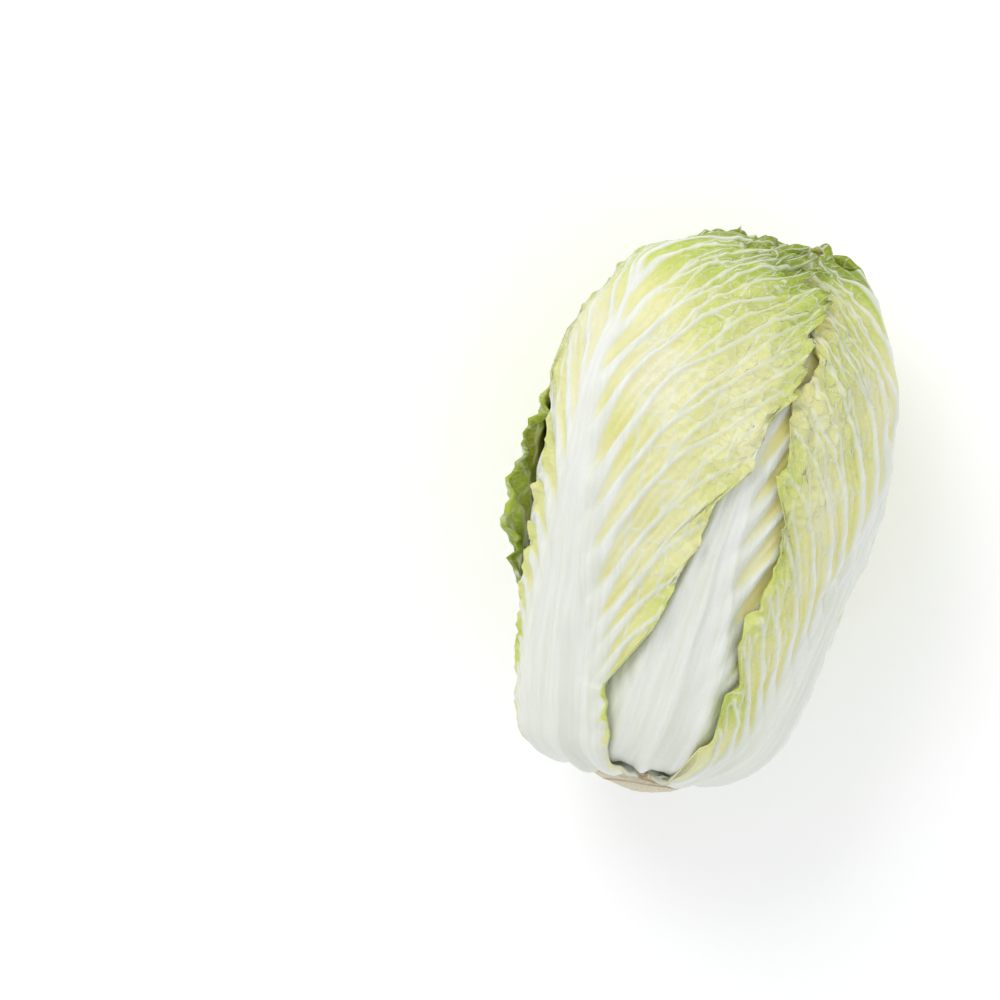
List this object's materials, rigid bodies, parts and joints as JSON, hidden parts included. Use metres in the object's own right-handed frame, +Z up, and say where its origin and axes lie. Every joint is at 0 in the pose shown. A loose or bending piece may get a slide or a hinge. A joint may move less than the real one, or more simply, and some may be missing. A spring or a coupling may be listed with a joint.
{
  "type": "napa cabbage",
  "caption": "Whole barrel-shaped napa cabbage lying on its side, with thick white petioles, veined pale green wrapper leaves, a packed heart and a cut stump.",
  "frame": {"origin": "under the middle of the bounding box, on the plane that the head rests on", "axes": "+Y along the head from the cut stump to the crown, +Z up from the table, +X to the right when looking down with the crown away"},
  "size_m": [0.1985, 0.3084, 0.1718],
  "materials": {
    "leaf": "waxy pale green leaf with white ribs",
    "heart": "pale yellow inner leaves",
    "stem": "cut cream stump with brown scars"
  },
  "bodies": {
    "root": {"stem": "stem", "heart": "heart", "leaf_front_left": "leaf", "leaf_front_middle": "leaf", "leaf_front_right": "leaf", "leaf_left": "leaf", "leaf_back_left": "leaf", "leaf_back_right": "leaf", "leaf_under": "leaf"}
  },
  "joints": []
}
